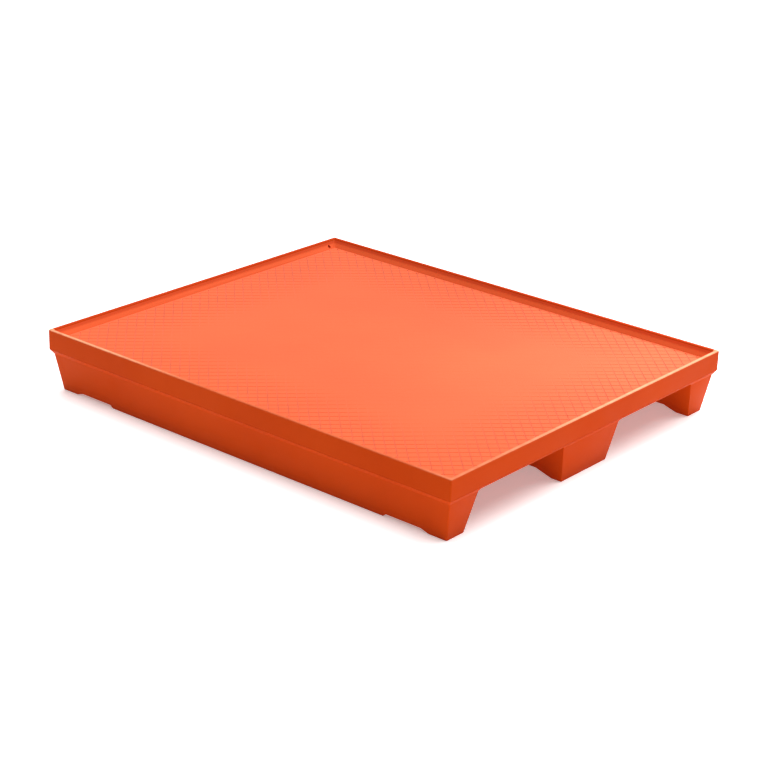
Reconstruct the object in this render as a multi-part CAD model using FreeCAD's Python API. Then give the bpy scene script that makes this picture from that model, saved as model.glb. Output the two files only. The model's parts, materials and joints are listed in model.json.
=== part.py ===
import FreeCAD, Part
import math
import os

# Spill containment pallet: a closed deck with a raised rim on three runners.
# Two plastic sheets are fused along a seam at the foot of the fascia. Foam cores, steel tubes and
# their end caps are closed in between them, and a small screw plug drains the deck at one corner.
# Millimetres. X runs along the long sides, Y along the short ends, Z up from the floor.
# The origin is at the middle of the underside.

# Driving dimensions
LENGTH = 1200.0
WIDTH = 1000.0
HEIGHT = 150.0
WALL = 5.0

# Rim and sump
SUMP_DEPTH = 20.0
RIM_WIDTH = 10.0
RIM_DRAFT = 2.0
RIM_LEDGE = 9.0
RIM_EDGE = 1.5
CORNER_RADIUS = 3.0

# Fascia, chamfer and skirts
SEAM_Z = 101.5
SKIRT_TOP_Z = 90.0
CHAMFER_RUN = 8.0
SKIRT_RUN = 14.5
FLOOR_EDGE = 2.5

# Fork channels, measured from the middle of the pallet at the floor and at the ceiling
CHANNEL_TOP_Z = 95.0
CHANNEL_FLOOR_Y = (83.0, 423.0)
CHANNEL_TOP_Y = (104.0, 398.0)
CHANNEL_CORNER_RADIUS = 8.0
EDGE_MATCH = 0.1

# Shallow reliefs under each runner, near its ends
RELIEF_TOP_X = (416.0, 510.0)
RELIEF_INNER_HEIGHT = 14.0
RELIEF_OUTER_HEIGHT = 5.0
RELIEF_IN_SLOPE = 1.0
RELIEF_OUT_SLOPE = 2.9
RELIEF_START = 1.0

# Steel tubes and their caps
RUNNER_TUBE_SIDE = 40.0
RUNNER_TUBE_WALL = 2.0
RUNNER_TUBE_LENGTH = 1100.0
OUTER_TUBE_Y = 447.0
CROSS_TUBE_SIDE = 25.0
CROSS_TUBE_WALL = 1.5
CROSS_TUBE_LENGTH = 960.0
CROSS_TUBE_X = (-450.0, -150.0, 150.0, 450.0)
TUBE_CORNER_RADIUS = 3.0
CAP_FLANGE = 3.0
CAP_INSERT = 12.0
CAP_FIT = 0.1

# Foam
FOAM_GAP = 0.5
PLANK_INSET = 9.5

# Vent plugs in the channel ceilings
VENT_X = (-300.0, 0.0, 300.0)
VENT_HEAD_RADIUS = 7.0
VENT_HEAD_HEIGHT = 1.8
VENT_RECESS = 2.0
VENT_HEAD_GAP = 0.3
VENT_STEM_RADIUS = 4.9
VENT_HOLE_RADIUS = 5.0
VENT_DIMPLE_RADIUS = 3.0
VENT_DIMPLE_DEPTH = 0.8

# Drain in the rim at the (-X, +Y) corner, along X
DRAIN_Y = 462.0
DRAIN_BORE_RADIUS = 4.5
DRAIN_BORE_DEPTH = 32.0
BUSH_LENGTH = 9.0
BUSH_RADIUS = 9.0
BUSH_GROOVE = 0.8
BUSH_GROOVE_WIDTH = 1.5
BUSH_GROOVE_X = (2.5, 5.5)
THREAD_RADIUS = 6.58
PLUG_RADIUS = 6.55
PLUG_LENGTH = 6.7
PLUG_SINK = 0.3
PLUG_EDGE = 0.5
PLUG_NOSE_RADIUS = 4.2
PLUG_NOSE_LENGTH = 1.7
SOCKET_ACROSS_FLATS = 7.0
SOCKET_DEPTH = 5.0
ORING_RADIUS = 5.4
ORING_CORD_RADIUS = 0.85
BOSS_HALF_WIDTH = 14.0
BOSS_DEPTH = 16.0
BOSS_Z = 118.0

# Worked out from the above
DECK_Z = HEIGHT - SUMP_DEPTH
DECK_UNDERSIDE_Z = DECK_Z - WALL
CORE_TOP_Z = CHANNEL_TOP_Z + WALL
CHANNEL_MIDDLE_Y = sum(CHANNEL_TOP_Y) / 2
DRAIN_Z = DECK_Z + DRAIN_BORE_RADIUS
END_X = -LENGTH / 2
REACH = LENGTH
RUNNER_SIDES = {"left": 1, "centre": 0, "right": -1}


def vector(x, y, z):
    return FreeCAD.Vector(x, y, z)


def block(low, high):
    """A box between two opposite corners."""
    size = [b - a for a, b in zip(low, high)]
    return Part.makeBox(*size, vector(*low))


def rod(radius, length, start, direction):
    return Part.makeCylinder(radius, length, vector(*start), vector(*direction))


def turned_about_z(x, y, z, angle):
    cos, sin = math.cos(angle), math.sin(angle)
    return vector(x * cos - y * sin, x * sin + y * cos, z)


def rounded_rectangle(half_x, half_y, radius, z=0.0):
    """A closed outline centred on the Z axis, with round corners."""
    edges = []
    for turn in range(4):
        angle = turn * math.pi / 2
        run, side = (half_x, half_y) if turn % 2 == 0 else (half_y, half_x)
        mid = radius * (1 - math.sqrt(0.5))
        places = [(run, radius - side), (run, side - radius), (run - mid, side - mid), (run - radius, side)]
        start, end, on_arc, after = [turned_about_z(u, v, z, angle) for u, v in places]
        edges.append(Part.LineSegment(start, end).toShape())
        edges.append(Part.Arc(end, on_arc, after).toShape())
    return Part.Wire(edges)


def plan_outline(inset, z):
    """The pallet's plan, drawn in by inset, at height z."""
    return rounded_rectangle(LENGTH / 2 - inset, WIDTH / 2 - inset, CORNER_RADIUS, z)


def stack(sections):
    """A solid with straight sides through plan outlines given as (inset, z)."""
    return Part.makeLoft([plan_outline(inset, z) for inset, z in sections], True, True)


def facing_out(solid):
    """The same solid, with its faces turned outwards."""
    if solid.Volume < 0:
        solid.reverse()
    return solid


def prism_along_x(points, half_length):
    """A solid with the given (y, z) outline, running from -half_length to half_length."""
    corners = [vector(-half_length, y, z) for y, z in points]
    face = Part.Face(Part.makePolygon(corners + corners[:1]))
    return facing_out(face.extrude(vector(2 * half_length, 0, 0)))


def flat_sided(first, second):
    """A solid with flat sides between two outlines that have the same number of corners."""
    count = len(first)
    outlines = [first, second]
    for k in range(count):
        after = (k + 1) % count
        outlines.append([first[k], first[after], second[after], second[k]])
    faces = [Part.Face(Part.makePolygon(points + points[:1])) for points in outlines]
    shell = Part.makeShell(faces)
    shell.sewShape()
    return facing_out(Part.Solid(shell))


def skirt_inset(z):
    """How far the skirt stands in from the fascia at height z."""
    return CHAMFER_RUN + SKIRT_RUN * (SKIRT_TOP_Z - z) / SKIRT_TOP_Z


def channel(side, grow):
    """One fork channel's space, with its walls and ceiling moved outwards by grow."""
    slopes = [(top - low) / CHANNEL_TOP_Z for low, top in zip(CHANNEL_FLOOR_Y, CHANNEL_TOP_Y)]
    below = -HEIGHT
    top = CHANNEL_TOP_Z + grow
    near, far = CHANNEL_FLOOR_Y[0] - grow, CHANNEL_FLOOR_Y[1] + grow
    ends = [(near + slopes[0] * z, far + slopes[1] * z) for z in (below, top)]
    (near_low, far_low), (near_top, far_top) = ends
    points = [(near_low, below), (far_low, below), (far_top, top), (near_top, top)]
    space = prism_along_x([(side * y, z) for y, z in points], REACH)
    ceiling_edges = [
        e for e in space.Edges
        if all(abs(v.Z - top) < EDGE_MATCH for v in e.Vertexes) and e.BoundBox.XLength > LENGTH
    ]
    return space.makeFillet(CHANNEL_CORNER_RADIUS, ceiling_edges)


def relief(end, y_sections, grow):
    """The relief under one runner at one end, between two (y, height) sections."""
    sections = []
    for y, height in y_sections:
        top = height + grow
        depth = top + RELIEF_START
        outline = [
            (RELIEF_TOP_X[0] - grow - RELIEF_IN_SLOPE * depth, -RELIEF_START),
            (RELIEF_TOP_X[0] - grow, top),
            (RELIEF_TOP_X[1] + grow, top),
            (RELIEF_TOP_X[1] + grow + RELIEF_OUT_SLOPE * depth, -RELIEF_START),
        ]
        sections.append([vector(end * x, y, z) for x, z in outline])
    return flat_sided(*sections)


def reliefs(grow):
    """Every relief: deeper towards the fork channels, shallow at the long sides."""
    inner, outer = CHANNEL_TOP_Y[1], WIDTH / 2
    middle = CHANNEL_TOP_Y[0]
    cuts = []
    for end in (-1, 1):
        cuts.append(relief(end, [(-middle, RELIEF_INNER_HEIGHT), (middle, RELIEF_INNER_HEIGHT)], grow))
        for side in (-1, 1):
            sections = [(side * inner, RELIEF_INNER_HEIGHT), (side * outer, RELIEF_OUTER_HEIGHT)]
            cuts.append(relief(end, sections, grow))
    return cuts


def inside_space(wall):
    """The space inside the bottom sheet, leaving the given wall thickness."""
    space = stack([(skirt_inset(wall) + wall, wall), (CHAMFER_RUN + wall, SKIRT_TOP_Z), (wall, SEAM_Z)])
    return space.cut([channel(side, wall) for side in (-1, 1)] + reliefs(wall))


def vent_places():
    return [(x, side * CHANNEL_MIDDLE_Y) for side in (-1, 1) for x in VENT_X]


def base_shell():
    edge_inset = skirt_inset(FLOOR_EDGE)
    body = stack([
        (edge_inset + FLOOR_EDGE, 0.0),
        (edge_inset, FLOOR_EDGE),
        (CHAMFER_RUN, SKIRT_TOP_Z),
        (0.0, SEAM_Z),
    ])
    holes = []
    for x, y in vent_places():
        holes.append(rod(VENT_HEAD_RADIUS + VENT_HEAD_GAP, VENT_RECESS, (x, y, CHANNEL_TOP_Z), (0, 0, 1)))
        holes.append(rod(VENT_HOLE_RADIUS, WALL, (x, y, CHANNEL_TOP_Z), (0, 0, 1)))
    channels = [channel(side, 0.0) for side in (-1, 1)]
    return body.cut(channels + reliefs(0.0) + [inside_space(WALL)] + holes)


def sump():
    """The hollow above the deck: a steep rim wall with a sloping ledge at its foot."""
    foot_inset = RIM_WIDTH + RIM_DRAFT
    return stack([
        (foot_inset + RIM_LEDGE, DECK_Z),
        (foot_inset, DECK_Z + RIM_LEDGE),
        (RIM_WIDTH, HEIGHT - RIM_EDGE),
        (RIM_WIDTH - RIM_EDGE, HEIGHT),
    ])


def deck_tray():
    body = stack([(0.0, SEAM_Z), (0.0, HEIGHT - RIM_EDGE), (RIM_EDGE, HEIGHT)])
    under = stack([(WALL, SEAM_Z), (WALL, DECK_UNDERSIDE_Z)])
    boss_low = (END_X + WALL, DRAIN_Y - BOSS_HALF_WIDTH, BOSS_Z)
    boss_high = (END_X + BOSS_DEPTH, DRAIN_Y + BOSS_HALF_WIDTH, DECK_UNDERSIDE_Z)
    under = under.cut(block(boss_low, boss_high))
    start = (END_X, DRAIN_Y, DRAIN_Z)
    seat = rod(BUSH_RADIUS, BUSH_LENGTH, start, (1, 0, 0)).cut(bush_grooves())
    bore = rod(DRAIN_BORE_RADIUS, DRAIN_BORE_DEPTH, start, (1, 0, 0))
    return body.cut([sump(), under, seat, bore])


def bush_grooves():
    """Rings cut into the bush, which the plastic flows into."""
    rings = []
    for offset in BUSH_GROOVE_X:
        start = (END_X + offset, DRAIN_Y, DRAIN_Z)
        outer = rod(BUSH_RADIUS, BUSH_GROOVE_WIDTH, start, (1, 0, 0))
        rings.append(outer.cut(rod(BUSH_RADIUS - BUSH_GROOVE, BUSH_GROOVE_WIDTH, start, (1, 0, 0))))
    return rings


def drain_bush():
    start = (END_X, DRAIN_Y, DRAIN_Z)
    bush = rod(BUSH_RADIUS, BUSH_LENGTH, start, (1, 0, 0))
    return bush.cut(bush_grooves() + [rod(THREAD_RADIUS, BUSH_LENGTH, start, (1, 0, 0))])


def drain_plug():
    face_x = END_X + PLUG_SINK
    plug = rod(PLUG_RADIUS, PLUG_LENGTH, (face_x, DRAIN_Y, DRAIN_Z), (1, 0, 0))
    rims = [e for e in plug.Edges if e.Length > 2 * PLUG_RADIUS]
    plug = plug.makeChamfer(PLUG_EDGE, rims)
    nose = rod(PLUG_NOSE_RADIUS, PLUG_NOSE_LENGTH, (face_x + PLUG_LENGTH, DRAIN_Y, DRAIN_Z), (1, 0, 0))
    corner = SOCKET_ACROSS_FLATS / math.sqrt(3)
    points = []
    for k in range(6):
        angle = k * math.pi / 3
        y = DRAIN_Y + corner * math.cos(angle)
        z = DRAIN_Z + corner * math.sin(angle)
        points.append(vector(face_x, y, z))
    hexagon = Part.Face(Part.makePolygon(points + points[:1]))
    return plug.fuse(nose).removeSplitter().cut(hexagon.extrude(vector(SOCKET_DEPTH, 0, 0)))


def drain_oring():
    seat_x = END_X + (PLUG_SINK + PLUG_LENGTH + BUSH_LENGTH) / 2
    return Part.makeTorus(ORING_RADIUS, ORING_CORD_RADIUS, vector(seat_x, DRAIN_Y, DRAIN_Z), vector(1, 0, 0))


def vent_plugs():
    plugs = []
    for x, y in vent_places():
        head = rod(VENT_HEAD_RADIUS, VENT_HEAD_HEIGHT, (x, y, CHANNEL_TOP_Z), (0, 0, 1))
        stem_z = CHANNEL_TOP_Z + VENT_HEAD_HEIGHT
        stem = rod(VENT_STEM_RADIUS, CORE_TOP_Z - stem_z, (x, y, stem_z), (0, 0, 1))
        dimple = rod(VENT_DIMPLE_RADIUS, VENT_DIMPLE_DEPTH, (x, y, CHANNEL_TOP_Z), (0, 0, 1))
        plugs.append(head.fuse(stem).removeSplitter().cut(dimple))
    return Part.makeCompound(plugs)


def square_tube(side, wall, length):
    """A square tube along Z, centred on the origin."""
    half = side / 2
    outer = Part.Face(rounded_rectangle(half, half, TUBE_CORNER_RADIUS, -length / 2))
    inner = Part.Face(rounded_rectangle(half - wall, half - wall, TUBE_CORNER_RADIUS - wall, -length / 2))
    return outer.cut(inner).extrude(vector(0, 0, length))


def tube_cap(side, wall, length):
    """An end cap for a tube along Z, at its upper end."""
    flange = Part.Face(rounded_rectangle(side / 2, side / 2, TUBE_CORNER_RADIUS, length / 2))
    half = side / 2 - wall - CAP_FIT
    insert = Part.Face(rounded_rectangle(half, half, TUBE_CORNER_RADIUS - wall, length / 2 - CAP_INSERT))
    return flange.extrude(vector(0, 0, CAP_FLANGE)).fuse(insert.extrude(vector(0, 0, CAP_INSERT)))


def placed(shape, direction, middle):
    """Turns a piece made along Z to lie along direction, with its middle at the given point."""
    turn = FreeCAD.Rotation(vector(0, 0, 1), vector(*direction))
    copy = shape.copy()
    copy.Placement = FreeCAD.Placement(vector(*middle), turn)
    return copy


def runner_middle(side):
    return (0.0, side * OUTER_TUBE_Y, CORE_TOP_Z - RUNNER_TUBE_SIDE / 2)


def cross_middle(x):
    return (x, 0.0, CORE_TOP_Z + CROSS_TUBE_SIDE / 2)


def runner_core(side, space):
    """The foam in one runner, with a bed cut in its top for the runner's tube."""
    half_width = (CHANNEL_TOP_Y[1] - CHANNEL_TOP_Y[0]) / 2
    middle = side * (CHANNEL_MIDDLE_Y + half_width)
    region = block((-REACH, middle - half_width, 0.0), (REACH, middle + half_width, CORE_TOP_Z))
    half_bed = RUNNER_TUBE_SIDE / 2 + FOAM_GAP
    half_length = RUNNER_TUBE_LENGTH / 2 + CAP_FLANGE + FOAM_GAP
    x, y, z = runner_middle(side)
    bed = block((x - half_length, y - half_bed, z - half_bed), (x + half_length, y + half_bed, HEIGHT))
    return space.common(region).cut(bed)


def deck_planks():
    """Foam planks that fill the deck between the cross tubes."""
    half_tube = CROSS_TUBE_SIDE / 2
    half_x, half_y = LENGTH / 2 - PLANK_INSET, WIDTH / 2 - PLANK_INSET
    lows = [-half_x] + [x + half_tube + FOAM_GAP for x in CROSS_TUBE_X]
    highs = [x - half_tube - FOAM_GAP for x in CROSS_TUBE_X] + [half_x]
    boss = block(
        (END_X, DRAIN_Y - BOSS_HALF_WIDTH - FOAM_GAP, BOSS_Z - FOAM_GAP),
        (END_X + BOSS_DEPTH + FOAM_GAP, WIDTH / 2, HEIGHT),
    )
    planks = [block((a, -half_y, CORE_TOP_Z), (b, half_y, DECK_UNDERSIDE_Z)) for a, b in zip(lows, highs)]
    planks[0] = planks[0].cut(boss)
    return planks


def save(name, shape):
    shape.exportStep("parts/" + name + ".step")
    box = shape.optimalBoundingBox(False)
    print(
        f"{name:22s} {len(shape.Solids)} solid(s) valid={shape.isValid()} {shape.Volume / 1e6:8.4f} l  "
        f"x {box.XMin:8.2f} {box.XMax:8.2f}  y {box.YMin:8.2f} {box.YMax:8.2f}  "
        f"z {box.ZMin:7.2f} {box.ZMax:7.2f}"
    )


save("deck_tray", deck_tray())
save("base_shell", base_shell())

foam_space = inside_space(WALL + FOAM_GAP)
runner_tube = square_tube(RUNNER_TUBE_SIDE, RUNNER_TUBE_WALL, RUNNER_TUBE_LENGTH)
runner_cap = tube_cap(RUNNER_TUBE_SIDE, RUNNER_TUBE_WALL, RUNNER_TUBE_LENGTH)
runner_caps = []
for name, side in RUNNER_SIDES.items():
    save(name + "_runner_core", runner_core(side, foam_space))
    save(name + "_runner_tube", placed(runner_tube, (1, 0, 0), runner_middle(side)))
    runner_caps += [placed(runner_cap, (end, 0, 0), runner_middle(side)) for end in (-1, 1)]
save("runner_tube_caps", Part.makeCompound(runner_caps))

cross_tube = square_tube(CROSS_TUBE_SIDE, CROSS_TUBE_WALL, CROSS_TUBE_LENGTH)
cross_cap = tube_cap(CROSS_TUBE_SIDE, CROSS_TUBE_WALL, CROSS_TUBE_LENGTH)
cross_caps = []
for number, x in enumerate(CROSS_TUBE_X, start=1):
    save(f"cross_tube_{number}", placed(cross_tube, (0, 1, 0), cross_middle(x)))
    cross_caps += [placed(cross_cap, (0, end, 0), cross_middle(x)) for end in (-1, 1)]
save("cross_tube_caps", Part.makeCompound(cross_caps))

for number, plank in enumerate(deck_planks(), start=1):
    save(f"deck_core_{number}", plank)

save("vent_plugs", vent_plugs())
save("drain_bush", drain_bush())
save("drain_plug", drain_plug())
save("drain_oring", drain_oring())
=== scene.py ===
# %% [markdown]
# # A spill containment pallet, made around its CAD frame
#
# The real thing is a flat plastic pallet with a raised rim, so that whatever leaks from a drum stays
# on it. It is moulded from two hot sheets of polyethylene, pressed together round steel tubes and
# rigid foam. The CAD model already fixes every size, place and moving part. Blender adds what a
# mould adds: soft edges, the grooved tread of the deck, the grain of the plastic, and light.
#
# This first cell loads the CAD model as a frame. It could be rebuilt by hand, but then the two
# models would drift apart, so the script asks the frame for the sizes and places that both share.

# %% Load the frame
import json
import math

import bmesh
import bpy
from mathutils import Matrix, Vector


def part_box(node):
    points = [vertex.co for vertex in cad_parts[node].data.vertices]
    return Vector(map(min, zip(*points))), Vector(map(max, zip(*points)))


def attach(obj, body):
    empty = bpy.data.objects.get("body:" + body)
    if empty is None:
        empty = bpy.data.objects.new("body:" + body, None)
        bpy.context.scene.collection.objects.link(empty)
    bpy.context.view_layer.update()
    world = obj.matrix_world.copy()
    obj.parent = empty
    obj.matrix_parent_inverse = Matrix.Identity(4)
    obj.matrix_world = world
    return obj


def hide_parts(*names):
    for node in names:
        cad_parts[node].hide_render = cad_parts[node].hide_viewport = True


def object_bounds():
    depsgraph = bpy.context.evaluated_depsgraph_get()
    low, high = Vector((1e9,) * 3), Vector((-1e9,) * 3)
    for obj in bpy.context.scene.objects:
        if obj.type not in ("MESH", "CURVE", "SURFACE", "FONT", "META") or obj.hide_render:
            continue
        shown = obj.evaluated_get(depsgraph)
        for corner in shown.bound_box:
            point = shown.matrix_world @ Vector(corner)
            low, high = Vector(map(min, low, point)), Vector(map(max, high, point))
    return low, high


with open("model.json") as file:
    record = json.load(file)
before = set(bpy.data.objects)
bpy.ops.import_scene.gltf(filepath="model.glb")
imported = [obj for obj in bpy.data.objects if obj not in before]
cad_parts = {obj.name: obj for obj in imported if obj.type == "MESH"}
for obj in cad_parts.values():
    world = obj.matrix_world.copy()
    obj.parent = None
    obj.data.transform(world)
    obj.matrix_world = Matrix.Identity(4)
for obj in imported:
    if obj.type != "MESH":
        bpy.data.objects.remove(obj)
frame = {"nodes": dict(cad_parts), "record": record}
cad_low, cad_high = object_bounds()
mounts = {mount["name"]: Vector(mount["pos_m"]) for mount in frame["record"]["mounts"]}
print("CAD box", [round(v, 4) for v in (*cad_low, *cad_high)])

# %% [markdown]
# ## The camera
#
# A product view looks down on the deck across one corner, with a long lens so that the far edges
# stay nearly as long as the near ones. A camera can be aimed with a constraint, but a plain
# rotation made from three directions, right, up and back, is exact and has no hidden parts. The
# small roll is part of the view: the whole pallet leans a little to the left in the frame.

# %% Place the camera
VIEW_AZIMUTH = math.radians(39.714)
VIEW_ELEVATION = math.radians(21.984)
VIEW_ROLL = math.radians(1.829)
CAMERA_PLACE = Vector((2.7704, -3.3301, 1.7884))
LENS_MM = 93.34


def place_camera():
    level = Vector((math.cos(VIEW_AZIMUTH), math.sin(VIEW_AZIMUTH), 0.0))
    flat_back = Vector((math.sin(VIEW_AZIMUTH), -math.cos(VIEW_AZIMUTH), 0.0))
    back = flat_back * math.cos(VIEW_ELEVATION) + Vector((0, 0, math.sin(VIEW_ELEVATION)))
    upright = back.cross(level)
    right = level * math.cos(VIEW_ROLL) + upright * math.sin(VIEW_ROLL)
    up = upright * math.cos(VIEW_ROLL) - level * math.sin(VIEW_ROLL)
    turned = Matrix((right, up, back)).transposed().to_4x4()
    camera = bpy.data.objects.new("camera", bpy.data.cameras.new("camera"))
    bpy.context.collection.objects.link(camera)
    camera.matrix_world = Matrix.Translation(CAMERA_PLACE) @ turned
    camera.data.lens = LENS_MM
    bpy.context.scene.camera = camera
    return camera


camera = place_camera()
print("camera", [round(v, 3) for v in camera.location], "lens", LENS_MM, "mm")

# %% [markdown]
# ## The floor and the sky
#
# Catalogue pictures of plastic goods are taken on a white sweep. A curved sheet could be modelled,
# but a very large flat floor looks the same from above. It glows a little, as a light table does,
# so the fork channels don't fall into black shadow. The Standard view keeps colours as they are
# set, where a film-like view would grey the orange.

# %% Make the floor and the sky
FLOOR_SIZE = 120.0
FLOOR_WHITE = 0.94
FLOOR_GLOW = 0.30
WORLD_STRENGTH = 0.20


def make_floor():
    half = FLOOR_SIZE / 2
    corners = [(-half, -half, 0.0), (half, -half, 0.0), (half, half, 0.0), (-half, half, 0.0)]
    mesh = bpy.data.meshes.new("studio_floor")
    mesh.from_pydata(corners, [], [(0, 1, 2, 3)])
    floor = bpy.data.objects.new("studio_floor", mesh)
    bpy.context.collection.objects.link(floor)
    paper = bpy.data.materials.new("white sweep")
    paper.use_nodes = True
    shader = paper.node_tree.nodes["Principled BSDF"]
    shader.inputs["Base Color"].default_value = (FLOOR_WHITE, FLOOR_WHITE, FLOOR_WHITE, 1.0)
    shader.inputs["Roughness"].default_value = 1.0
    shader.inputs["Specular IOR Level"].default_value = 0.0
    shader.inputs["Emission Color"].default_value = (1.0, 1.0, 1.0, 1.0)
    shader.inputs["Emission Strength"].default_value = FLOOR_GLOW
    mesh.materials.append(paper)


def light_world():
    world = bpy.data.worlds.new("studio")
    world.use_nodes = True
    background = world.node_tree.nodes["Background"]
    background.inputs["Color"].default_value = (1.0, 1.0, 1.0, 1.0)
    background.inputs["Strength"].default_value = WORLD_STRENGTH
    bpy.context.scene.world = world


bpy.context.scene.view_settings.view_transform = "Standard"
make_floor()
light_world()
print("floor", FLOOR_SIZE, "m wide, world strength", WORLD_STRENGTH)

# %% [markdown]
# ## The lamps
#
# The key light is a wide soft box above the pallet and a little behind it, so the deck is
# brightest, and the two near sides get mostly what the white floor throws back. It could be an area
# lamp, but that falls off across the floor and leaves grey corners. A sun lamp with a very wide
# angle is just as soft and lights the floor evenly. A small soft spot behind the right corner
# lifts that end of the deck and draws out the grooves that cross its light.

# %% Hang the lamps
KEY_FROM = Vector((-0.02, 0.32, 1.0))
KEY_DISTANCE = 4.0
KEY_STRENGTH = 5.0
KEY_ANGLE = math.radians(75)
CORNER_LAMP_PLACE = (0.25, 2.0, 1.7)
CORNER_LAMP_TARGET = (0.50, 0.42, 0.13)
CORNER_LAMP_WATTS = 240.0
CORNER_LAMP_CONE = math.radians(28)
CORNER_LAMP_RADIUS = 0.35


def hang_lamp(name, kind, place, target):
    """A lamp at place, turned towards target."""
    lamp = bpy.data.objects.new(name, bpy.data.lights.new(name, kind))
    bpy.context.collection.objects.link(lamp)
    lamp.location = place
    lamp.rotation_euler = (Vector(target) - Vector(place)).to_track_quat("-Z", "Y").to_euler()
    return lamp


key = hang_lamp("key_light", "SUN", KEY_FROM * KEY_DISTANCE, (0.0, 0.0, 0.0))
key.data.energy = KEY_STRENGTH
key.data.angle = KEY_ANGLE
corner_lamp = hang_lamp("corner_lamp", "SPOT", CORNER_LAMP_PLACE, CORNER_LAMP_TARGET)
corner_lamp.data.energy = CORNER_LAMP_WATTS
corner_lamp.data.spot_size = CORNER_LAMP_CONE
corner_lamp.data.spot_blend = 1.0
corner_lamp.data.shadow_soft_size = CORNER_LAMP_RADIUS

# %% [markdown]
# ## Helpers for finishes
#
# A finish is a node tree that ends in one Principled shader. It can be wired by hand in the shader
# editor, but a few small helpers make it short enough to read. Patterns are read from Object
# coordinates, which are metres on these pieces, so a noise scale of 300 gives specks of about
# three millimetres.

# %% Start a finish and its patterns
HAZE_ROUGHNESS = 0.5


def place_on(tree, stretch=(1.0, 1.0, 1.0), turn=0.0):
    """Object coordinates, turned about Z and stretched."""
    coordinates = tree.nodes.new("ShaderNodeTexCoord")
    mapping = tree.nodes.new("ShaderNodeMapping")
    mapping.inputs["Rotation"].default_value = (0.0, 0.0, turn)
    mapping.inputs["Scale"].default_value = stretch
    tree.links.new(coordinates.outputs["Object"], mapping.inputs["Vector"])
    return mapping.outputs["Vector"]


def new_finish(name, roughness, metallic=0.0, specular=0.5, haze=0.0):
    """A material, its tree, shader and place. Haze is a rough surface's pale bloom, seen low."""
    material = bpy.data.materials.new(name)
    material.use_nodes = True
    tree = material.node_tree
    shader = tree.nodes["Principled BSDF"]
    shader.inputs["Roughness"].default_value = roughness
    shader.inputs["Metallic"].default_value = metallic
    shader.inputs["Specular IOR Level"].default_value = specular
    shader.inputs["Sheen Weight"].default_value = haze
    shader.inputs["Sheen Roughness"].default_value = HAZE_ROUGHNESS
    return material, tree, shader, place_on(tree)


def noise(tree, place, scale, detail=3.0, roughness=0.5):
    texture = tree.nodes.new("ShaderNodeTexNoise")
    texture.inputs["Scale"].default_value = scale
    texture.inputs["Detail"].default_value = detail
    texture.inputs["Roughness"].default_value = roughness
    tree.links.new(place, texture.inputs["Vector"])
    return texture.outputs["Fac"]


def axes_of(tree, place):
    """The X, Y and Z of a place, by name."""
    split = tree.nodes.new("ShaderNodeSeparateXYZ")
    tree.links.new(place, split.inputs[0])
    return split.outputs


print("helpers for patterns ready")

# %% [markdown]
# ## Helpers that mix
#
# A raw pattern is grey and runs from about 0.3 to 0.7. It is spread to the range that a finish
# needs, multiplied with others, and used as the share of one colour in another, or as a height.
# A colour ramp could spread and colour at once, but its numbers are harder to read.

# %% Spread, combine, blend and emboss
# The Mix node has a set of sockets for each kind of data. These are the ones for colours.
MIX_FIRST_COLOUR, MIX_SECOND_COLOUR, MIX_RESULT_COLOUR = 6, 7, 2


def spread(tree, value, taken, given):
    """Maps a value from the range taken to the range given, clamped."""
    node = tree.nodes.new("ShaderNodeMapRange")
    for name, number in zip(("From Min", "From Max", "To Min", "To Max"), (*taken, *given)):
        node.inputs[name].default_value = number
    tree.links.new(value, node.inputs["Value"])
    return node.outputs["Result"]


def combine(tree, operation, first, second):
    """A Math node. Each value is an output or a number."""
    node = tree.nodes.new("ShaderNodeMath")
    node.operation = operation
    for socket, value in zip(node.inputs, (first, second)):
        if isinstance(value, float):
            socket.default_value = value
        else:
            tree.links.new(value, socket)
    return node.outputs["Value"]


def blend_colours(tree, share, first, second):
    """One colour or output turning into another as share goes from 0 to 1."""
    node = tree.nodes.new("ShaderNodeMix")
    node.data_type = "RGBA"
    tree.links.new(share, node.inputs["Factor"])
    for index, colour in ((MIX_FIRST_COLOUR, first), (MIX_SECOND_COLOUR, second)):
        if isinstance(colour, tuple):
            node.inputs[index].default_value = (*colour, 1.0)
        else:
            tree.links.new(colour, node.inputs[index])
    return node.outputs[MIX_RESULT_COLOUR]


def emboss(tree, shader, layers):
    """Stacks bump layers of (height, depth in metres, strength) onto the shader."""
    last = None
    for height, depth, strength in layers:
        bump = tree.nodes.new("ShaderNodeBump")
        bump.inputs["Distance"].default_value = depth
        bump.inputs["Strength"].default_value = strength
        tree.links.new(height, bump.inputs["Height"])
        if last is not None:
            tree.links.new(last, bump.inputs["Normal"])
        last = bump.outputs["Normal"]
    tree.links.new(last, shader.inputs["Normal"])


def connect(tree, shader, colour, roughness):
    """Gives the shader its colour and its roughness."""
    tree.links.new(colour, shader.inputs["Base Color"])
    tree.links.new(roughness, shader.inputs["Roughness"])


print("helpers for mixing ready")

# %% [markdown]
# ## Painted light and shade on the orange plastic
#
# The top of the rim is painted paler, a painted highlight, at the +X end and along the -Y side,
# least of all near one spot on the long side, and painted darker, a painted shade, on the other
# two sides. The floors of the tread's grooves are painted darker, a painted shade. Both could be
# painted on an image, but here they are worked out from where a point lies, so they stay sharp at
# any distance and need no unwrapping.

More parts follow.
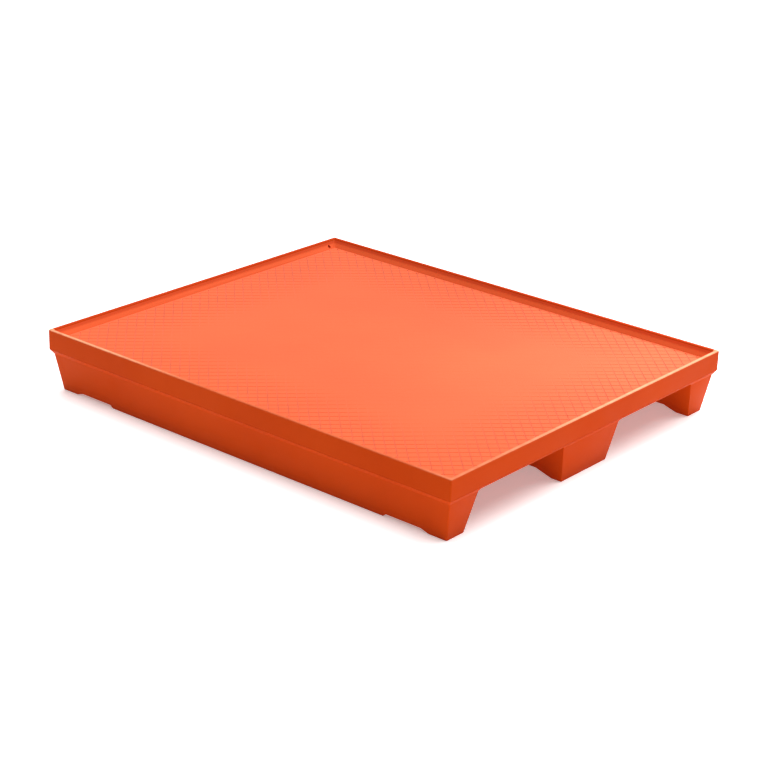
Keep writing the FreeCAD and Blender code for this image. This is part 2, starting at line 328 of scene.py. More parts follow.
# %% Work out the painted rim light and groove shade
# Painted light and shade: a pale painted highlight on the rim's top at the +X end and the -Y side, a dark
# painted shade on the rim's other tops, and a dark painted shade in the grooves.
PAINTED_RIM_HIGHLIGHT = (0.76, 0.34, 0.19)
PAINTED_RIM_SHADE = (0.42, 0.032, 0.002)
PAINTED_GROOVE_SHADE = (0.46, 0.045, 0.001)
PAINTED_RIM_Z = 0.1478
PAINTED_RIM_FADE = 0.0018
RIM_HIGHLIGHT_BEYOND_X = 0.588
RIM_HIGHLIGHT_BELOW_Y = -0.488
DIMMEST_RIM_HIGHLIGHT_SPOT = (0.2, -0.5, 0.15)
RIM_SHADE_STRENGTH = 0.75
GROOVE_SHADE_STRENGTH = 0.8
FULL_GROOVE_SHADE_DEPTH, NO_GROOVE_SHADE_DEPTH = 0.0008, 0.0002


def rim_light_and_shade(tree, place):
    """A painted highlight on the rim's top at the +X end and the -Y side, and painted shade on the other
    two.
    """
    axes = axes_of(tree, place)
    on_end = combine(tree, "GREATER_THAN", axes["X"], RIM_HIGHLIGHT_BEYOND_X)
    on_side = combine(tree, "LESS_THAN", axes["Y"], RIM_HIGHLIGHT_BELOW_Y)
    lit_sides = combine(tree, "MAXIMUM", on_end, on_side)
    shaded_sides = spread(tree, lit_sides, (0.0, 1.0), (RIM_SHADE_STRENGTH, 0.0))
    on_top = spread(tree, axes["Z"], (PAINTED_RIM_Z, PAINTED_RIM_Z + PAINTED_RIM_FADE), (0.0, 1.0))
    distance = tree.nodes.new("ShaderNodeVectorMath")
    distance.operation = "DISTANCE"
    distance.inputs[1].default_value = DIMMEST_RIM_HIGHLIGHT_SPOT
    tree.links.new(place, distance.inputs[0])
    along = spread(tree, distance.outputs["Value"], (0.3, 0.62), (0.22, 0.9))
    uneven = spread(tree, noise(tree, place, scale=40.0), (0.3, 0.6), (0.7, 1.0))
    lit_top = combine(tree, "MULTIPLY", on_top, lit_sides)
    shaded_top = combine(tree, "MULTIPLY", on_top, shaded_sides)
    rim_highlight = combine(tree, "MULTIPLY", lit_top, combine(tree, "MULTIPLY", along, uneven))
    return rim_highlight, combine(tree, "MULTIPLY", shaded_top, uneven)


def groove_shade(tree, place):
    """Painted shade in the tread's grooves, from none near the pads' tops to most at their floor."""
    deck_top = mounts["deck_rest"].z
    height = axes_of(tree, place)["Z"]
    depths = (deck_top - FULL_GROOVE_SHADE_DEPTH, deck_top - NO_GROOVE_SHADE_DEPTH)
    low = spread(tree, height, depths, (GROOVE_SHADE_STRENGTH, 0.0))
    uneven = spread(tree, noise(tree, place, scale=25.0), (0.3, 0.6), (0.5, 1.0))
    return combine(tree, "MULTIPLY", low, uneven)


# Prints the height above which the rim top carries painted highlight and shade, and the height below which
# the grooves carry painted shade.
print("painted rim light and shade above z", PAINTED_RIM_Z, "and painted groove shade below z", round(mounts["deck_rest"].z - NO_GROOVE_SHADE_DEPTH, 4))

# %% [markdown]
# ## Orange polyethylene
#
# Formed polyethylene is matte and a little waxy. Close up it has a fine grain from the mould, a
# slight orange-peel swell, and faint clouds where the sheet was hotter. The deck takes all the
# traffic: goods slide over it and leave pale scuffs, and seen at a low angle its roughened skin
# has a pale bloom. The walls stay clean, and their colour is darker than the deck's, a painted
# shade; the inside of the rim is coloured lighter than the deck, painted light. One flat colour
# would look like paint, so the colour is a cloudy mix, and thin stretched noise lays the scuffs.
# The deck, the rim and the walls share one recipe with different amounts.

# %% Make the orange finishes
DECK_ORANGE, DECK_DEEP = (0.71, 0.088, 0.009), (0.67, 0.076, 0.006)
# The inside of the rim is coloured lighter than the deck, painted light, and the walls darker, painted
# shade, on the same plastic.
LIT_RIM_ORANGE, LIT_RIM_DEEP = (0.75, 0.104, 0.022), (0.70, 0.090, 0.015)
SHADED_WALL_ORANGE, SHADED_WALL_DEEP = (0.53, 0.052, 0.002), (0.49, 0.043, 0.001)
ORANGE_SCUFFED = (0.72, 0.13, 0.04)
SCUFF_STRETCH = (1.0, 60.0, 60.0)
SCUFF_TURN = math.radians(20)


def moulded_orange(name, clean, deep, haze, scuffing, roughness, specular, shaded_grooves=False):
    """The shared recipe. Scuffing is how much pale plastic shows in a streak."""
    material, tree, shader, place = new_finish(name, roughness, specular=specular, haze=haze)
    clouds = spread(tree, noise(tree, place, scale=3.0, detail=2.0), (0.35, 0.65), (0.0, 0.8))
    specks = spread(tree, noise(tree, place, scale=700.0, detail=2.0), (0.35, 0.7), (0.0, 0.2))
    body = blend_colours(tree, combine(tree, "ADD", clouds, specks), clean, deep)
    along_scuffs = place_on(tree, stretch=SCUFF_STRETCH, turn=SCUFF_TURN)
    streaks = noise(tree, along_scuffs, scale=9.0, detail=6.0, roughness=0.7)
    pale = spread(tree, streaks, (0.62, 0.72), (0.0, scuffing))
    patches = spread(tree, noise(tree, place, scale=5.0), (0.5, 0.72), (0.0, 1.0))
    scuffs = combine(tree, "MULTIPLY", pale, patches)
    scuffed = blend_colours(tree, scuffs, body, ORANGE_SCUFFED)
    # A painted highlight on the rim's top at the +X end and the -Y side, and painted shade on its other
    # two sides.
    rim_highlight, rim_shade = rim_light_and_shade(tree, place)
    with_rim_shade = blend_colours(tree, rim_shade, scuffed, PAINTED_RIM_SHADE)
    worn = blend_colours(tree, rim_highlight, with_rim_shade, PAINTED_RIM_HIGHLIGHT)
    # Painted shade darkens the floors of the tread's grooves.
    if shaded_grooves:
        worn = blend_colours(tree, groove_shade(tree, place), worn, PAINTED_GROOVE_SHADE)
    gloss = spread(tree, noise(tree, place, scale=14.0), (0.3, 0.7), (roughness - 0.05, roughness + 0.06))
    connect(tree, shader, worn, combine(tree, "ADD", gloss, scuffs))
    orange_peel = (noise(tree, place, scale=90.0, detail=2.0), 0.0004, 0.25)
    mould_grain = (noise(tree, place, scale=1400.0, detail=2.0), 0.00008, 0.35)
    emboss(tree, shader, [orange_peel, mould_grain])
    return material


deck_orange = moulded_orange(
    "orange polyethylene deck", DECK_ORANGE, DECK_DEEP,
    haze=0.36, scuffing=0.25, roughness=0.48, specular=0.05, shaded_grooves=True,
)
lit_rim_orange = moulded_orange(
    "orange polyethylene rim", LIT_RIM_ORANGE, LIT_RIM_DEEP,
    haze=0.22, scuffing=0.15, roughness=0.50, specular=0.05,
)
shaded_wall_orange = moulded_orange(
    "orange polyethylene wall, painted shade", SHADED_WALL_ORANGE, SHADED_WALL_DEEP,
    haze=0.01, scuffing=0.10, roughness=0.55, specular=0.03,
)
print("finishes", deck_orange.name, "and", lit_rim_orange.name, "and", shaded_wall_orange.name)

# %% [markdown]
# ## What lies between the sheets
#
# Rigid foam, galvanised tubes and their plastic caps fill the space between the sheets. They can't
# be seen from outside, but the part may be cut open or taken apart, so each has its real look:
# open cells on the foam, the leafy zinc crystals called spangle on the tubes, and a dull moulded
# grain on the caps. Cell noise is chosen over plain noise for the first two, because both are
# patches with clear borders.

# %% Make the foam, zinc and cap finishes
FOAM_PALE, FOAM_AGED, FOAM_PORE = (0.78, 0.66, 0.42), (0.70, 0.56, 0.32), (0.55, 0.42, 0.22)
ZINC_DARK, ZINC_PALE = (0.48, 0.50, 0.52), (0.72, 0.74, 0.76)
ZINC_DRAWN = (4.0, 60.0, 60.0)
CAP_BLACK, CAP_GREY = (0.010, 0.010, 0.011), (0.028, 0.028, 0.030)


def cells(tree, place, scale, output="Distance"):
    """Cell noise: how far each point is from its cell's middle, or a colour for each cell."""
    texture = tree.nodes.new("ShaderNodeTexVoronoi")
    texture.inputs["Scale"].default_value = scale
    tree.links.new(place, texture.inputs["Vector"])
    return texture.outputs[output]


def rigid_foam():
    material, tree, shader, place = new_finish("rigid foam", 0.9, specular=0.2)
    pores = cells(tree, place, scale=450.0)
    patches = spread(tree, noise(tree, place, scale=6.0), (0.3, 0.7), (0.0, 1.0))
    tint = blend_colours(tree, patches, FOAM_PALE, FOAM_AGED)
    skin = spread(tree, pores, (0.1, 0.6), (0.0, 1.0))
    tree.links.new(blend_colours(tree, skin, FOAM_PORE, tint), shader.inputs["Base Color"])
    emboss(tree, shader, [(pores, 0.0006, 0.6), (noise(tree, place, scale=60.0), 0.001, 0.3)])
    return material


def galvanised_steel():
    material, tree, shader, place = new_finish("galvanised steel", 0.4, metallic=1.0)
    shine = tree.nodes.new("ShaderNodeRGBToBW")
    tree.links.new(cells(tree, place, scale=70.0, output="Color"), shine.inputs[0])
    leaf = shine.outputs[0]
    spangle = blend_colours(tree, leaf, ZINC_DARK, ZINC_PALE)
    connect(tree, shader, spangle, spread(tree, leaf, (0.2, 0.8), (0.32, 0.52)))
    drawing_lines = noise(tree, place_on(tree, stretch=ZINC_DRAWN), scale=20.0, detail=4.0)
    emboss(tree, shader, [(drawing_lines, 0.0001, 0.3)])
    return material


def moulded_black():
    material, tree, shader, place = new_finish("black cap plastic", 0.5)
    black = blend_colours(tree, noise(tree, place, scale=60.0, detail=4.0), CAP_BLACK, CAP_GREY)
    connect(tree, shader, black, spread(tree, noise(tree, place, scale=30.0), (0.3, 0.7), (0.42, 0.6)))
    emboss(tree, shader, [(noise(tree, place, scale=900.0), 0.0001, 0.4)])
    return material


finishes_by_slot = {
    "rigid_foam": rigid_foam(),
    "galvanised_steel": galvanised_steel(),
    "black_cap_plastic": moulded_black(),
}
print("finishes between the sheets:", len(finishes_by_slot))

# %% [markdown]
# ## Finishes of the small fittings
#
# The drain's brass is turned on a lathe, which leaves fine rings round its axis. The vent plugs
# are small orange mouldings, a little glossier than the pallet, and the drain's seal is black
# rubber. The rings could be cut as real grooves, but a bump of noise squeezed along the axis
# costs nothing and looks the same at arm's length.

# %% Make the brass, plug and rubber finishes
BRASS_BRIGHT, BRASS_TARNISHED = (0.80, 0.56, 0.22), (0.48, 0.30, 0.11)
TURNED_ROUND_X = (1.0, 0.02, 0.02)
PLUG_ORANGE, PLUG_PALE = (0.66, 0.060, 0.003), (0.76, 0.090, 0.008)
RUBBER_BLACK, RUBBER_GREY = (0.012, 0.012, 0.012), (0.030, 0.029, 0.028)


def plug_orange():
    material, tree, shader, place = new_finish("orange plug plastic", 0.35, specular=0.3)
    body = blend_colours(tree, noise(tree, place, scale=90.0), PLUG_ORANGE, PLUG_PALE)
    connect(tree, shader, body, spread(tree, noise(tree, place, scale=200.0), (0.3, 0.7), (0.28, 0.45)))
    emboss(tree, shader, [(noise(tree, place, scale=800.0), 0.00006, 0.4)])
    return material


def turned_brass():
    material, tree, shader, place = new_finish("turned brass", 0.28, metallic=1.0)
    rings = noise(tree, place_on(tree, stretch=TURNED_ROUND_X), scale=9000.0, detail=2.0)
    tarnish = spread(tree, noise(tree, place, scale=250.0, detail=4.0), (0.45, 0.7), (0.0, 0.7))
    body = blend_colours(tree, tarnish, BRASS_BRIGHT, BRASS_TARNISHED)
    dullness = combine(tree, "MULTIPLY", tarnish, 0.2)
    tool_marks = spread(tree, rings, (0.3, 0.7), (0.2, 0.32))
    connect(tree, shader, body, combine(tree, "ADD", tool_marks, dullness))
    emboss(tree, shader, [(rings, 0.00003, 0.4)])
    return material


def sealing_rubber():
    material, tree, shader, place = new_finish("black rubber", 0.6, specular=0.4)
    body = blend_colours(tree, noise(tree, place, scale=500.0), RUBBER_BLACK, RUBBER_GREY)
    connect(tree, shader, body, spread(tree, noise(tree, place, scale=900.0), (0.3, 0.7), (0.5, 0.75)))
    emboss(tree, shader, [(noise(tree, place, scale=2500.0), 0.00003, 0.4)])
    return material


brass = turned_brass()
finishes_by_slot.update(brass=brass, orange_plug_plastic=plug_orange(), black_rubber=sealing_rubber())
print("finishes for", len(finishes_by_slot), "material slots")

# %% [markdown]
# ## Dress the CAD pieces
#
# Every CAD node knows what it is made of. The nodes that stay as they are get their finish by that
# name in one loop, and their meshes are left alone. Choosing a finish piece by piece would be
# longer, and one could be forgotten. The pieces made below take their finish when they are made.

# %% Give the CAD nodes their finishes
def set_finishes(piece, *finishes):
    """Empties a piece's material slots and fills them with these."""
    piece.data.materials.clear()
    for finish in finishes:
        piece.data.materials.append(finish)


dressed = []
for part in frame["record"]["subparts"]:
    if part["material_slot"] in finishes_by_slot:
        set_finishes(frame["nodes"][part["node"]], finishes_by_slot[part["material_slot"]])
        dressed.append(part["node"])
print("dressed", len(dressed), "CAD nodes")

# %% [markdown]
# ## Helpers for moulded shapes
#
# Both sheets are drawn in plan as the same rounded rectangle, drawn in by a few millimetres at
# each height. So a sheet is a stack of loops joined by strips of faces, like a lathe that
# follows a rectangle. Primitives with a Bevel modifier would give the outside, but not walls
# that lean by a chosen amount at each height.

# %% Shape helpers
CORNER_RADIUS = 0.003
CORNER_STEPS = 6
half_x, half_y = cad_high.x, cad_high.y


def arc(centre, radius, start, end, steps=4):
    """Points (u, v) on an arc; angles in degrees."""
    angles = [math.radians(start + (end - start) * k / steps) for k in range(steps + 1)]
    return [(centre[0] + radius * math.cos(a), centre[1] + radius * math.sin(a)) for a in angles]


def circle(centre, radius, sides):
    """Points (u, v) evenly round a circle."""
    return arc(centre, radius, 0, 360 - 360 / sides, sides - 1)


def plan_loop(inset, z):
    """The pallet's outline in plan at height z, drawn in by inset."""
    points = []
    for turn in range(4):
        across = (half_x if turn % 2 == 0 else half_y) - inset - CORNER_RADIUS
        along = (half_y if turn % 2 == 0 else half_x) - inset - CORNER_RADIUS
        for u, v in arc((across, along), CORNER_RADIUS, 0, 90, CORNER_STEPS):
            points.append(Matrix.Rotation(turn * math.pi / 2, 3, "Z") @ Vector((u, v, z)))
    return points


def solid_from_loops(name, loops):
    """A closed solid: strips of faces between loops, and a face over each end."""
    shape = bmesh.new()
    rings = [[shape.verts.new(point) for point in loop] for loop in loops]
    count = len(rings[0])
    for low, high in zip(rings, rings[1:]):
        for k in range(count):
            after = (k + 1) % count
            shape.faces.new((low[k], low[after], high[after], high[k]))
    shape.faces.new(reversed(rings[0]))
    shape.faces.new(rings[-1])
    bmesh.ops.recalc_face_normals(shape, faces=shape.faces)
    mesh = bpy.data.meshes.new(name)
    shape.to_mesh(mesh)
    shape.free()
    piece = bpy.data.objects.new(name, mesh)
    bpy.context.collection.objects.link(piece)
    return piece


def triangles(piece):
    return sum(len(face.vertices) - 2 for face in piece.data.polygons)


print("plan", round(2 * half_x, 3), "by", round(2 * half_y, 3), "m")

# %% [markdown]
# ## The top sheet
#
# The top sheet is the deck, the rim and the fascia in one. Going round its edge from below: a
# straight fascia, a rounded rim 10 mm wide, a steep inner wall, a sloping ledge and a crease where
# the deck begins. The stack of loops below is that edge, once inside and once outside, so the
# sheet has its real thickness. A Solidify modifier would make it equally thick everywhere, and the
# rim is thicker than the deck. The tread is added in a later cell. Its grooves are deep round the edge and
# nearly gone in the middle, where every load has stood, so the stack ends with a broad, very low
# rise.

# %% Mould the top sheet
SHEET = 0.005
INNER_BEND = 0.003
RIM_WIDTH = 0.010
RIM_OUTER_ROUND = 0.002
RIM_INNER_ROUND = 0.004
WALL_LEAN = 0.002
LEDGE = 0.009
SEAM_ROUND = 0.0006
PLAIN_EDGE = 0.006
GROOVE_DEPTH = 0.0009
WORN_DEPTH = 0.00003
FRESH_TREAD_INSET = 0.07
WORN_TREAD_INSET = 0.22
# Steps (inwards, upwards) from a sharp corner that round it: wall to ledge, and ledge to deck.
LEDGE_BEND = ((-0.0004, 0.0022), (0.0003, 0.0004), (0.0018, -0.0014))
DECK_CREASE = ((-0.0006, 0.0008), (0.0, -0.0002), (0.0012, 0.0))

seam_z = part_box("deck_tray")[0].z
rim_z = cad_high.z
deck_z = mounts["deck_rest"].z
groove_z = deck_z - GROOVE_DEPTH
wall_foot = RIM_WIDTH + WALL_LEAN
tread_inset = wall_foot + LEDGE + PLAIN_EDGE


def rim_sections():
    """The sheet's edge as (inset, height), from under the deck, round the fascia, to the tread."""
    under_z = deck_z - SHEET
    under = [(SHEET + INNER_BEND, under_z), (SHEET, under_z - INNER_BEND), (SHEET, seam_z)]
    fascia = [(SEAM_ROUND, seam_z), (0.0, seam_z + SEAM_ROUND)]
    outer_round = arc((RIM_OUTER_ROUND, rim_z - RIM_OUTER_ROUND), RIM_OUTER_ROUND, 180, 90)
    inner_round = arc((RIM_WIDTH - RIM_INNER_ROUND, rim_z - RIM_INNER_ROUND), RIM_INNER_ROUND, 90, 8)
    bend = [(wall_foot + inwards, deck_z + LEDGE + upwards) for inwards, upwards in LEDGE_BEND]
    crease = [(wall_foot + LEDGE + inwards, deck_z + upwards) for inwards, upwards in DECK_CREASE]
    step = [(tread_inset, deck_z), (tread_inset, groove_z)]
    worn = [(FRESH_TREAD_INSET, groove_z), (WORN_TREAD_INSET, deck_z - WORN_DEPTH)]
    return under + fascia + outer_round + inner_round + bend + crease + step + worn


deck = solid_from_loops("deck_tray_moulded", [plan_loop(inset, z) for inset, z in rim_sections()])
print("top sheet without tread:", triangles(deck), "triangles")

# %% [markdown]
# ## A short way to write geometry nodes
#
# Two things on this pallet repeat: the pads of the tread and the turns of the drain's thread. Both
# are node trees. A tree can be drawn in the node editor, but a script that others can read and
# change needs each node as one call. This class adds the nodes, names the inputs and ends every
# tree the same way: real geometry with its finish.

# %% Write the class for node trees
def settle(piece):
    """Replaces a piece's mesh by what its modifiers make of it, and removes them."""
    evaluated = piece.evaluated_get(bpy.context.evaluated_depsgraph_get())
    mesh = bpy.data.meshes.new_from_object(evaluated)
    piece.modifiers.clear()
    piece.data = mesh


class Tree:
    """A geometry node tree with named inputs, and short calls to add its nodes."""

    def __init__(self, name, inputs):
        self.tree = bpy.data.node_groups.new(name, "GeometryNodeTree")
        self.tree.interface.new_socket("Geometry", in_out="OUTPUT", socket_type="NodeSocketGeometry")
        for label, kind in inputs.items():
            self.tree.interface.new_socket(label, in_out="INPUT", socket_type="NodeSocket" + kind)
        self.inputs = self.tree.nodes.new("NodeGroupInput").outputs

    def add(self, kind, values=None, **settings):
        """Adds a node. A value is an output to link, or a number or material to set."""
        node = self.tree.nodes.new(kind)
        for name, value in settings.items():
            setattr(node, name, value)
        for name, value in (values or {}).items():
            if isinstance(value, bpy.types.NodeSocket):
                self.tree.links.new(value, node.inputs[name])
            else:
                node.inputs[name].default_value = value
        return node

    def math(self, operation, first, second=0.0):
        return self.add("ShaderNodeMath", {0: first, 1: second}, operation=operation).outputs[0]

    def fuse(self, operation, *solids):
        """A boolean of closed solids that keeps the result closed."""
        node = self.add("GeometryNodeMeshBoolean", operation=operation, solver="MANIFOLD")
        for solid in solids:
            self.tree.links.new(solid, node.inputs["Mesh 2"])
        return node.outputs["Mesh"]

    def end_with(self, geometry, material):
        """The end of every tree: real geometry, with its finish."""
        real = self.add("GeometryNodeRealizeInstances", {"Geometry": geometry})
        dressed = self.add("GeometryNodeSetMaterial", {"Geometry": real.outputs[0], "Material": material})
        out = self.tree.nodes.new("NodeGroupOutput")
        self.tree.links.new(dressed.outputs[0], out.inputs[0])

    def apply_to(self, piece, **values):
        """Runs the tree on a piece with the given inputs, and leaves a plain mesh."""
        modifier = piece.modifiers.new(self.tree.name, "NODES")
        modifier.node_group = self.tree
        for item in self.tree.interface.items_tree:
            label = item.name.replace(" ", "_").lower()
            if item.in_out == "INPUT" and label in values:
                modifier[item.identifier] = values[label]
        settle(piece)


print("node trees can be written")

# %% [markdown]
# ## The tread, with Geometry Nodes
#
# The deck is covered with low diamond pads, with a thin groove all round each, so that drums
# don't slide on a wet deck. There are over two thousand, all alike, in rows at 45 degrees to the
# sides. Modelling them by hand or with an array modifier would be slow to change, and a bump
# texture would have no real depth. A node tree builds one pad, puts it on each point of a turned
# grid, trims the field to the deck and fuses it with the sheet. Pitch, groove widths and depth
# are named inputs. The grooves that run one way are wider than those that cross them.

# %% Build the tread's node tree
PAD_ROOT = 0.002
# How a pad rises: the share of the groove's depth that each step takes, and how it shrinks there.
PAD_STEPS = ((0.6, 0.99), (0.28, 0.985), (0.12, 0.975))
PAD_TURN = (0.0, 0.0, math.pi / 4)
FIELD_HEIGHT = 0.02


def pad_in(t, pitch, depth):
    """One pad: a square slab with softened edges, turned and stretched into its diamond."""
    side = t.math("SUBTRACT", pitch, t.inputs["Groove"])
    slab = t.add("GeometryNodeMeshCylinder", {
        "Vertices": 4, "Radius": t.math("DIVIDE", side, math.sqrt(2)), "Depth": 2 * PAD_ROOT,
    })
    mesh, top = slab.outputs["Mesh"], slab.outputs["Top"]
    for rise, shrink in PAD_STEPS:
        raised = t.add("GeometryNodeExtrudeMesh", {
            "Mesh": mesh, "Selection": top, "Offset Scale": t.math("MULTIPLY", depth, rise),
        })
        top = raised.outputs["Top"]
        mesh = t.add("GeometryNodeScaleElements", {
            "Geometry": raised.outputs["Mesh"], "Selection": top, "Scale": shrink,
        }).outputs[0]
    long_side = t.math("SUBTRACT", pitch, t.inputs["Cross Groove"])
    longer = t.math("DIVIDE", long_side, side)
    stretch = t.add("ShaderNodeCombineXYZ", {"X": 1.0, "Y": longer, "Z": 1.0}).outputs[0]
    squared = t.add("GeometryNodeTransform", {"Geometry": mesh, "Rotation": PAD_TURN}).outputs[0]
    pad = {"Geometry": squared, "Rotation": PAD_TURN, "Scale": stretch}
    return t.add("GeometryNodeTransform", pad).outputs[0]


def places_in(t, pitch, lift):
    """The turned grid of places for the pads, less those that lie off the deck."""
    rows = t.inputs["Rows"]
    reach = t.math("MULTIPLY", pitch, t.math("SUBTRACT", rows, 1.0))
    grid = t.add("GeometryNodeMeshGrid", {
        "Size X": reach, "Size Y": reach, "Vertices X": rows, "Vertices Y": rows,
    })
    up = t.add("ShaderNodeCombineXYZ", {"Z": lift}).outputs[0]
    turned = t.add("GeometryNodeTransform", {
        "Geometry": grid.outputs["Mesh"], "Rotation": PAD_TURN, "Translation": up,
    })
    place = t.add("ShaderNodeSeparateXYZ", {"Vector": t.add("GeometryNodeInputPosition").outputs[0]})
    beyond = []
    for axis, name in (("X", "Length"), ("Y", "Width")):
        limit = t.math("ADD", t.math("DIVIDE", t.inputs[name], 2.0), pitch)
        beyond.append(t.math("GREATER_THAN", t.math("ABSOLUTE", place.outputs[axis]), limit))
    off_deck = t.math("MAXIMUM", *beyond)
    kept = t.add("GeometryNodeDeleteGeometry", {"Geometry": turned.outputs[0], "Selection": off_deck})
    return kept.outputs[0]


def tread_tree():
    t = Tree("diamond tread", {
        "Geometry": "Geometry", "Pitch": "Float", "Groove": "Float", "Cross Groove": "Float",
        "Depth": "Float", "Rows": "Int", "Length": "Float", "Width": "Float", "Height": "Float",
        "Finish": "Material",
    })
    pitch, depth, height = t.inputs["Pitch"], t.inputs["Depth"], t.inputs["Height"]
    lift = t.math("SUBTRACT", t.math("SUBTRACT", height, depth), PAD_ROOT)
    pads = t.add("GeometryNodeInstanceOnPoints", {
        "Points": places_in(t, pitch, lift), "Instance": pad_in(t, pitch, depth),
    })
    real = t.add("GeometryNodeRealizeInstances", {"Geometry": pads.outputs[0]})
    size = t.add("ShaderNodeCombineXYZ", {
        "X": t.inputs["Length"], "Y": t.inputs["Width"], "Z": FIELD_HEIGHT,
    })
    block = t.add("GeometryNodeMeshCube", {"Size": size.outputs[0]})
    up = t.add("ShaderNodeCombineXYZ", {"Z": height}).outputs[0]
    field = t.add("GeometryNodeTransform", {"Geometry": block.outputs[0], "Translation": up})
    trimmed = t.fuse("INTERSECT", field.outputs[0], real.outputs[0])
    t.end_with(t.fuse("UNION", trimmed, t.inputs["Geometry"]), t.inputs["Finish"])
    return t


tread = tread_tree()
print("tread tree has", len(tread.tree.nodes), "nodes")

# %% [markdown]
# ## Lay the tread
#
# The pitch sets how the deck looks from afar, and the groove widths how it looks close to. The
# field of pads could end where the sheet's edge steps down, but faces that only touch make
# booleans fail, so it overlaps that step by half a millimetre on each side.

# %% Lay the tread on the deck
TREAD_PITCH = 0.0214
GROOVE_WIDTH = 0.0018
CROSS_GROOVE_WIDTH = 0.0008
FIELD_OVERLAP = 0.001
SPARE_ROWS = 2

field_x = 2 * (half_x - tread_inset) + FIELD_OVERLAP
field_y = 2 * (half_y - tread_inset) + FIELD_OVERLAP
rows = math.ceil((field_x + field_y) / math.sqrt(2) / TREAD_PITCH) + SPARE_ROWS
tread.apply_to(
    deck, pitch=TREAD_PITCH, groove=GROOVE_WIDTH, cross_groove=CROSS_GROOVE_WIDTH, depth=GROOVE_DEPTH,
    rows=rows, length=field_x, width=field_y, height=deck_z, finish=deck_orange,
)
print("top sheet with tread:", triangles(deck), "triangles")

# %% [markdown]
# ## The drain in the rim
#
# Water and spills leave through a bore in one corner, level with the deck. Outside it widens into
# a seat for the brass bush. The two steps could be rings of faces let into the wall, but two
# cylinders cut from the sheet make both and keep it closed.

# %% Cut the drain
ROUND_SIDES = 48
TOOL_OVERSHOOT = 0.01
BORE_REACH = 0.032
bush_low, bush_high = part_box("drain_bush")
drain_centre = ((bush_low.y + bush_high.y) / 2, (bush_low.z + bush_high.z) / 2)
bush_radius = (bush_high.y - bush_low.y) / 2
bore_radius = drain_centre[1] - deck_z


def fuse_with(piece, operation, tools):
    """Cuts the tools out of a piece, or adds them to it, and throws them away."""
    for tool in tools:
        modifier = piece.modifiers.new(operation, "BOOLEAN")
        modifier.operation = operation
        modifier.solver = "MANIFOLD"
        modifier.object = tool
    settle(piece)
    for tool in tools:
        bpy.data.objects.remove(tool)


def rod_along_x(name, radius, start, end, sides=ROUND_SIDES):
    """A closed cylinder along the drain's axis, from start to end."""
    ring = circle(drain_centre, radius, sides)
    return solid_from_loops(name, [[(x, y, z) for y, z in ring] for x in (start, end)])


outside_x = cad_low.x - TOOL_OVERSHOOT
fuse_with(deck, "DIFFERENCE", [
    rod_along_x("seat", bush_radius, outside_x, bush_high.x),
    rod_along_x("bore", bore_radius, outside_x, cad_low.x + BORE_REACH),
])
print("drain at y", round(drain_centre[0], 4), "z", round(drain_centre[1], 4))

# %% [markdown]
# ## Three finishes on the top sheet
#
# The outside and the top of the rim take the wall finish, coloured darker than the deck as painted
# shade, the inside of the rim its own, coloured lighter as painted light, and everything from the
# deck down the deck's. A mask in one finish could do this, but a slot for each face is easier to
# check and to change. The faces of the tread are shaded flat: smooth shading would blur their
# narrow slopes over the whole pad.

# %% Finish the top sheet
DECK_SLOT, WALL_SLOT, RIM_SLOT = range(3)
SKIN = 0.001
ABOVE_DECK = 0.0005
BELOW_GROOVE = 0.0001
SHADING_ANGLE = math.radians(35)


def shade(piece):
    """Smooth shading that stays crisp over sharp edges."""
    piece.data.polygons.foreach_set("use_smooth", [True] * len(piece.data.polygons))
    piece.data.set_sharp_from_angle(angle=SHADING_ANGLE)


def within(point, inset):
    """Whether a point is inside the pallet's outline drawn in by inset."""
    return abs(point.x) < half_x - inset and abs(point.y) < half_y - inset


def slot_of(point):
    if point.z > rim_z - RIM_INNER_ROUND or not within(point, SKIN):
        return WALL_SLOT
    return RIM_SLOT if point.z > deck_z + ABOVE_DECK else DECK_SLOT


# The wall slot carries the darker colour, painted shade, and the rim slot the lighter one, painted light.
set_finishes(deck, deck_orange, shaded_wall_orange, lit_rim_orange)
shade(deck)
for face in deck.data.polygons:
    face.material_index = slot_of(face.center)
    if within(face.center, tread_inset) and face.center.z > groove_z - BELOW_GROOVE:
        face.use_smooth = False
print("faces on the tread:", sum(not face.use_smooth for face in deck.data.polygons))

# %% [markdown]
# ## Tools for the channels and the reliefs
#
# Two fork channels run the whole length of the bottom sheet, with leaning sides and a rounded
# ceiling. Under each end of each runner is a shallow relief. Both are closed solids that will be
# cut from the sheet. They could be drawn into its outline, but the same tools, grown by the
# thickness of the sheet, also shape its inside, and that keeps the two surfaces parallel.

# %% Make the cutting tools
CHANNEL_FLOOR_Y = (0.083, 0.423)
CHANNEL_TOP_Y = (0.104, 0.398)
CHANNEL_ROUND = 0.008
CHANNEL_ROUND_SHIFT = 0.0006
CHANNEL_BELOW = -0.05
RELIEF_TOP_X = (0.416, 0.510)
RELIEF_HEIGHTS = (0.014, 0.005)
RELIEF_SLOPES = (1.0, 2.9)
RELIEF_BELOW = 0.001
ceiling_z = mounts["fork_channel_ceiling_left"].z


